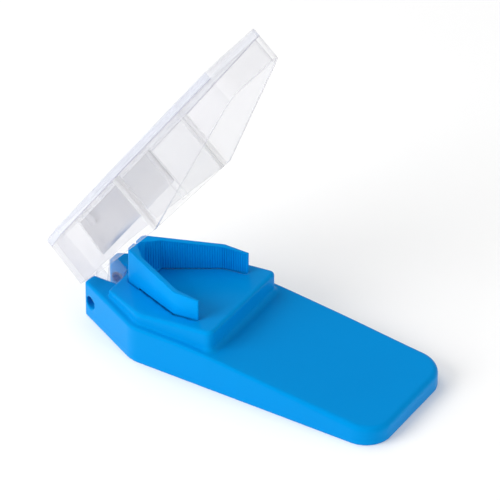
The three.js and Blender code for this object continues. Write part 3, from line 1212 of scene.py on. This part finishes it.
@dataclass
class Lid:
    """The clear lid. Sizes are in millimetres, and X runs from the hinge end with the lid shut."""

    WALL: ClassVar[str] = "upright_wall"
    RIM: ClassVar[str] = "rim_face"

    wall: float = 1.3
    top_thickness: float = 2.0
    roof_above_deck: float = 10.4
    cross_wall: float = 46.5
    holder_reach: float = 0.8
    middle: float = 6.0
    edge_radius: float = 0.22
    corner_reach: float = 3.2
    line_width: float = 0.12
    soft: float = 0.12
    wall_facing: float = 0.8
    rim_facing: float = 0.6
    rim_below_roof: float = 1.0

    def build(self, base: Base, finish: ClearPlastic, opened: float) -> bpy.types.Object:
        """Builds the lid, dresses it and ties it to the frame.

        Args:
            base: The base that the lid shuts on.
            finish: What the lid is made of.
            opened: Angle in radians by which it stands open at rest.

        Returns:
            The finished lid.
        """
        obj = clean_copy("lid", "lid_moulding")
        round_edges(obj, self.edge_radius, segments=3, sharper_than=30)
        smooth_by_angle(obj, degrees=35)
        self._mark_faces(obj, base, opened)
        obj.data.materials.clear()
        obj.data.materials.append(finish.material("clear_lid_plastic", self, base, opened))
        attach(obj, Body.LID, Slot.LID, "lid")
        return obj

    def _mark_faces(self, obj: bpy.types.Object, base: Base, opened: float) -> None:
        """Marks the two long side walls and the rim, for the finish to read.

        Args:
            obj: The lid.
            base: The base, for the slope that the top plate follows.
            opened: Angle in radians by which the lid stands open at rest.
        """
        shut = Matrix.Rotation(opened, 3, "Y")
        hinge = Vector((base.hinge_x, 0.0, base.hinge_z))
        start = base.shift()
        walls, rims = [], []
        for face in obj.data.polygons:
            normal = shut @ face.normal
            centre = shut @ ((face.center - start) / MM - hinge) + hinge
            roof = base.deck_height(centre.x) + self.roof_above_deck
            walls.append(float(abs(normal.y) > self.wall_facing and abs(centre.y) > self.middle))
            rims.append(float(normal.z < -self.rim_facing and centre.z < roof - self.rim_below_roof))
        for name, marks in ((self.WALL, walls), (self.RIM, rims)):
            obj.data.attributes.new(name, "FLOAT", "FACE").data.foreach_set("value", marks)


@dataclass
class Blade:
    """The steel blade. Sizes are in millimetres."""

    edge_radius: float = 0.02

    def build(self, finish: BrushedSteel) -> bpy.types.Object:
        """Builds the blade, dresses it and ties it to the frame.

        Args:
            finish: What the blade is made of.

        Returns:
            The finished blade.
        """
        obj = clean_copy("blade", "steel_blade")
        round_edges(obj, self.edge_radius, segments=2, sharper_than=8)
        smooth_by_angle(obj, degrees=30)
        obj.data.materials.clear()
        obj.data.materials.append(finish.material("brushed_blade_steel"))
        attach(obj, Body.LID, Slot.BLADE, "blade")
        return obj


def attach(obj: bpy.types.Object, body: Body, slot: Slot, *nodes: str) -> None:
    """Ties a piece to its moving body and hides the frame solids that it stands for.

    Args:
        obj: The piece.
        body: The body that it moves with.
        slot: The slot that it takes its finish from; not used.
        nodes: Names of the frame solids that it replaces, if any.
    """
    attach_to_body(obj, body.value)
    if nodes:
        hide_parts(*nodes)
    LOG.info("%s: %d faces on %s", obj.name, len(obj.data.polygons), body.value)


# ---- Studio -----------------------------------------------------------------------------------------


@dataclass(frozen=True)
class Lamp:
    """A square soft box that faces the object and doesn't show in glossy surfaces.

    Attributes:
        name: Name of the lamp.
        place: Where it stands.
        size: Length of its side.
        power: Power in watts.
    """

    name: str
    place: tuple[float, float, float]
    size: float
    power: float

    def build(self) -> None:
        """Adds the lamp to the scene."""
        data = bpy.data.lights.new(self.name, "AREA")
        data.size = self.size
        data.energy = self.power
        lamp = bpy.data.objects.new(self.name, data)
        lamp.location = self.place
        lamp.rotation_euler = (-Vector(self.place)).to_track_quat("-Z", "Y").to_euler()
        lamp.visible_glossy = False
        bpy.context.scene.collection.objects.link(lamp)


@dataclass
class Studio:
    """Floor, lamps and camera. Lengths are in metres and angles in degrees."""

    azimuth: float = 31.44
    elevation: float = 36.75
    roll: float = 0.17
    distance: float = 1.19435
    lens: float = 349.37
    target: tuple[float, float, float] = (0.0032, 0.0, 0.006)
    aim_right: float = -0.00119
    aim_up: float = 0.02133
    view_end: float = 20.0
    floor_size: float = 6.0
    floor_dark: Colour = (0.89, 0.89, 0.89)
    floor_light: Colour = (0.91, 0.91, 0.91)
    floor_mottle: Pattern = Pattern(30.0)
    floor_glow: float = 0.12
    light_all_round: float = 0.42
    lamps: tuple[Lamp, ...] = (
        Lamp("key", (-0.55, -0.85, 0.5), 0.7, 10.0),
        Lamp("top", (-0.6, 0.0, 0.9), 0.9, 4.2),
        Lamp("fill", (1.0, -0.1, 0.35), 0.5, 3.2),
    )

    def build(self) -> None:
        """Sets up the whole studio."""
        self._camera()
        self._floor()
        self._world()
        for lamp in self.lamps:
            lamp.build()
        scene = bpy.context.scene
        scene.view_settings.view_transform = "Standard"
        scene.view_settings.look = "None"

    def _camera(self) -> None:
        """Puts the camera where the object is seen from above its near side."""
        turn, rise = math.radians(self.azimuth), math.radians(self.elevation)
        back = Vector((
            math.sin(turn) * math.cos(rise), -math.cos(turn) * math.cos(rise), math.sin(rise),
        ))
        right = Vector((math.cos(turn), math.sin(turn), 0.0))
        centre = right * self.aim_right + back.cross(right) * self.aim_up - back * self.distance
        data = bpy.data.cameras.new("camera")
        data.lens = self.lens
        data.clip_end = self.view_end
        camera = bpy.data.objects.new("camera", data)
        bpy.context.scene.collection.objects.link(camera)
        camera.matrix_world = (
            Matrix.Translation(Vector(self.target) + back * self.distance)
            @ centre.to_track_quat("-Z", "Y").to_matrix().to_4x4()
            @ Matrix.Rotation(math.radians(self.roll), 4, "Z")
        )
        bpy.context.scene.camera = camera

    def _floor(self) -> None:
        """Lays a plain pale floor under the object."""
        shape = bmesh.new()
        bmesh.ops.create_grid(shape, x_segments=1, y_segments=1, size=self.floor_size / 2)
        mesh = bpy.data.meshes.new("floor")
        shape.to_mesh(mesh)
        shape.free()
        floor = add_object("floor", mesh)
        tree = ShaderTree("floor_white")
        mottle = tree.noise(tree.place(), self.floor_mottle)
        shader = tree.add("ShaderNodeBsdfPrincipled", None, {
            "Base Color": tree.tint(mottle, self.floor_dark, self.floor_light),
            "Roughness": 0.9,
            "Emission Color": (1.0, 1.0, 1.0, 1.0),
            "Emission Strength": self.floor_glow,
        })
        mesh.materials.append(tree.finish(shader.outputs[0]))

    def _world(self) -> None:
        """Lights the scene evenly from all round."""
        world = bpy.data.worlds.new("studio")
        world.use_nodes = True
        background = world.node_tree.nodes["Background"]
        background.inputs["Color"].default_value = (1.0, 1.0, 1.0, 1.0)
        background.inputs["Strength"].default_value = self.light_all_round
        bpy.context.scene.world = world


# ---- Main -------------------------------------------------------------------------------------------


def main() -> None:
    """Builds the studio and every piece in order."""
    logging.basicConfig(level=logging.INFO, format="%(name)s %(message)s")
    Studio().build()
    hinge = frame["joints"][0]
    opened = math.radians(-hinge["range_deg"][0])
    base = Base()
    base.build(MouldedPlastic(
        colour=(0.0, 0.265, 0.67), deep=(0.0, 0.25, 0.64), sheen=SHEEN, roughness=(0.26, 0.36),
    ))
    PillGrip().build(base, MouldedPlastic(
        colour=(0.0, 0.29, 0.74), deep=(0.0, 0.275, 0.71), sheen=SHEEN, roughness=(0.3, 0.4),
    ))
    Lid().build(base, ClearPlastic(), opened)
    Blade().build(BrushedSteel(
        bright=(0.72, 0.72, 0.74), dull=(0.55, 0.55, 0.57), roughness=(0.24, 0.36),
        turn=opened + base.tilt,
    ))


if __name__ == "__main__":
    main()
